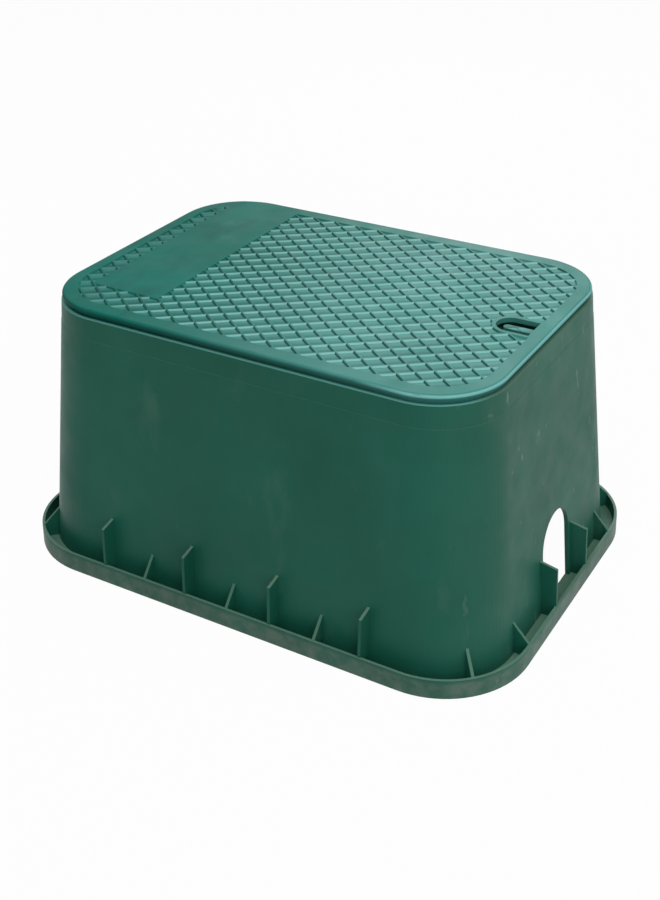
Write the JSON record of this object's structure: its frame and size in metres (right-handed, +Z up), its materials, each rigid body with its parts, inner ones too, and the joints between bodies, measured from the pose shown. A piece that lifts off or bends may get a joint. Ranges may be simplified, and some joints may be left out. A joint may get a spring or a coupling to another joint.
{
  "type": "irrigation valve box",
  "caption": "Rectangular ground box with leaning ribbed walls, pipe arches in both ends, a turned-up base flange and a drop-in tread lid with a lift slot.",
  "frame": {"origin": "centre of the footprint, on the ground plane under the base flange", "axes": "+X along the length towards the lid's lift slot, +Z up to the lid, and -Y is the long side in front"},
  "size_m": [0.5984, 0.4354, 0.305],
  "materials": {
    "box_green": "moulded, faintly scuffed",
    "lid_green": "moulded, satin tread"
  },
  "bodies": {
    "root": {"box_body": "box_green", "lid": "lid_green"}
  },
  "joints": []
}
